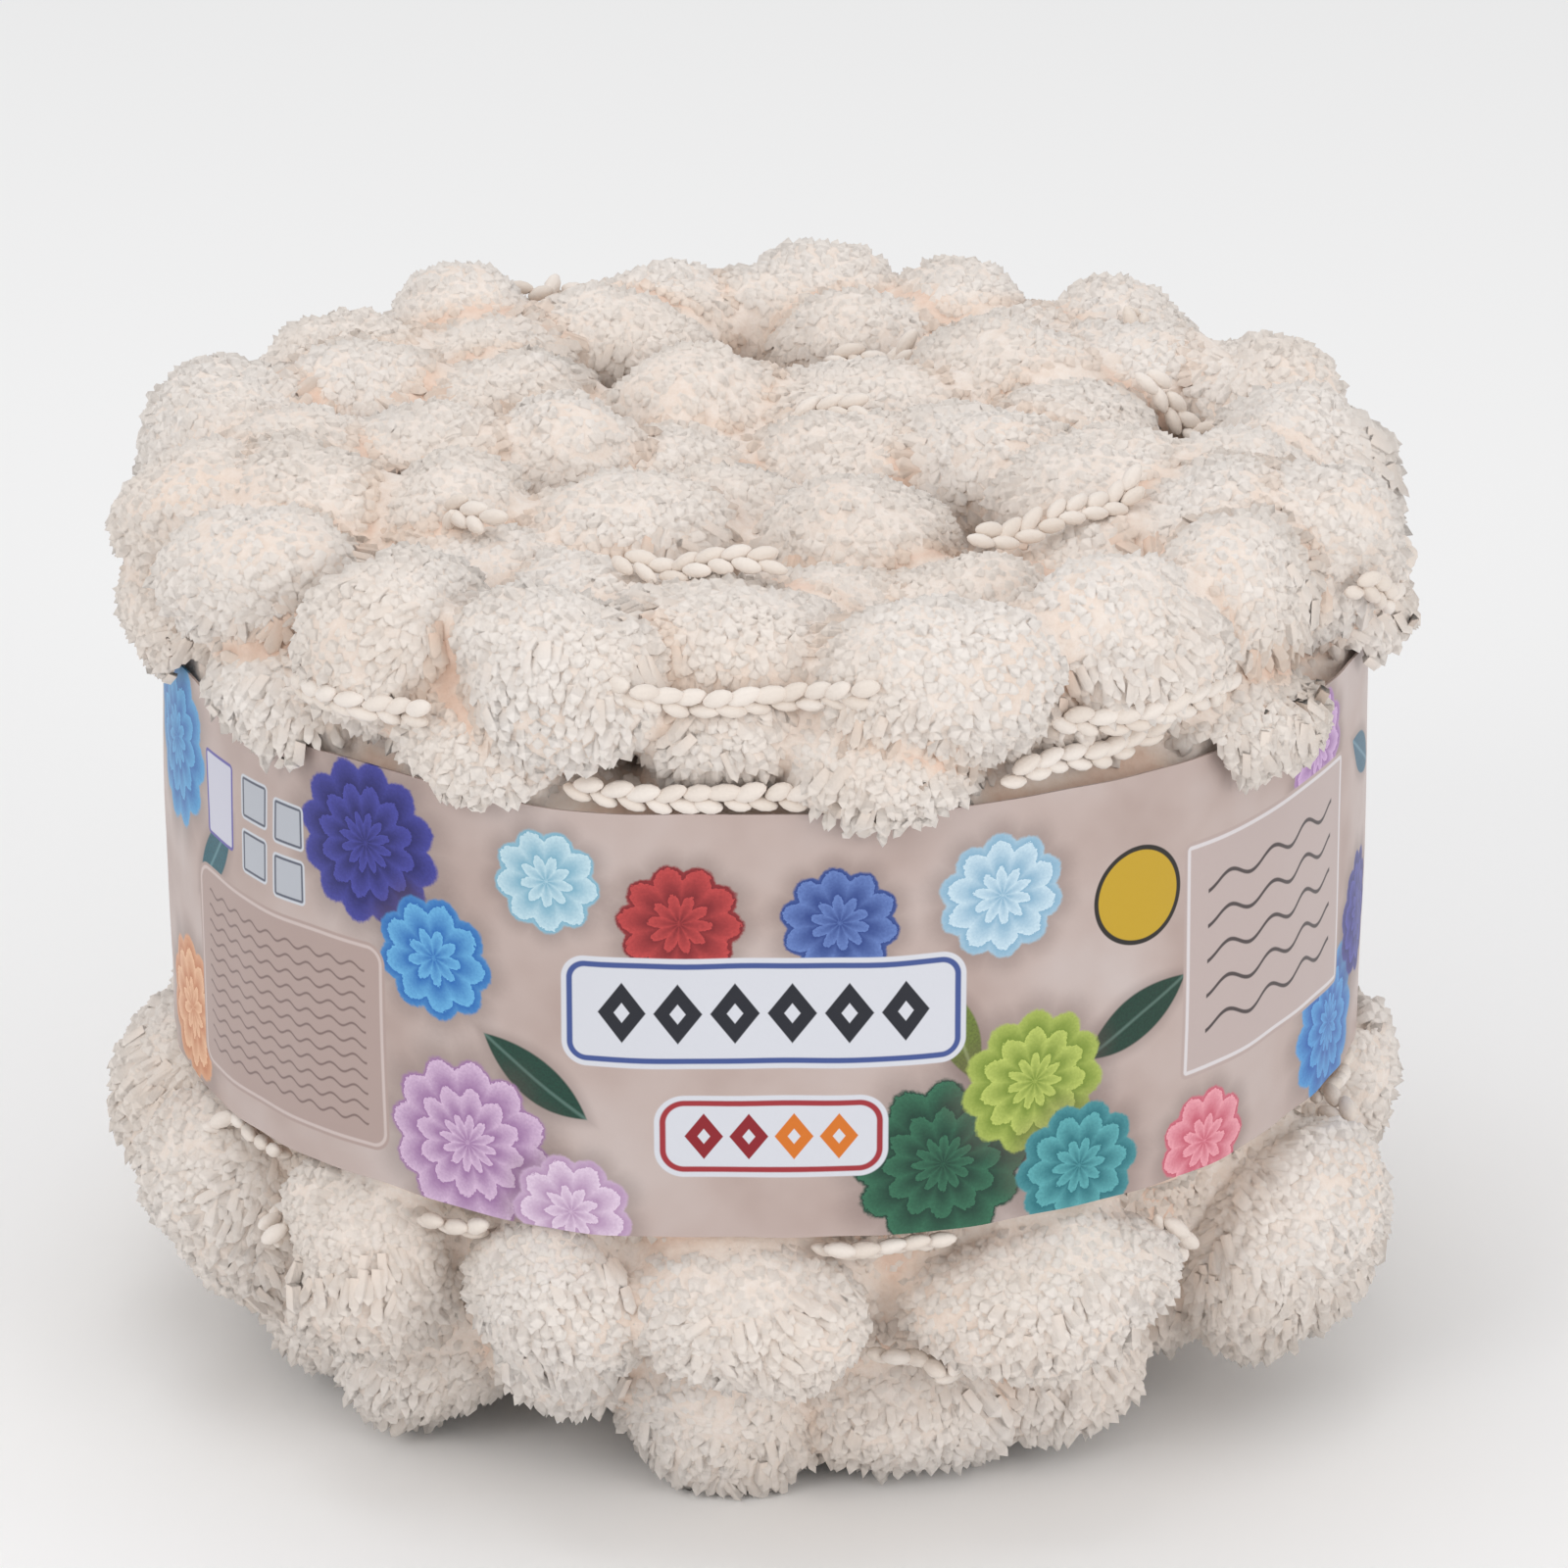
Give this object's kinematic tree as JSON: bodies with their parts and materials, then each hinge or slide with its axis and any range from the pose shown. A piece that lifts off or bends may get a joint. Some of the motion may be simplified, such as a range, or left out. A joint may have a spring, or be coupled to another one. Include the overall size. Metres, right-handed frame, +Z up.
{
  "type": "pom pom yarn ball",
  "caption": "Squat wound ball of cream pom pom yarn: fluffy poms on a chain cord, held at the waist by a wide printed paper band.",
  "frame": {"origin": "middle of the underside, at the floor the ball stands on", "axes": "+Z up along the ball's winding axis, -Y towards the front of the band, +X to the right"},
  "size_m": [0.1864, 0.185, 0.1346],
  "materials": {
    "pompom_yarn": "cut polyester pile, soft and matte",
    "paper_band": "printed coated paper, low sheen"
  },
  "bodies": {
    "root": {"pompom_yarn": "pompom_yarn", "paper_band": "paper_band"}
  },
  "joints": []
}
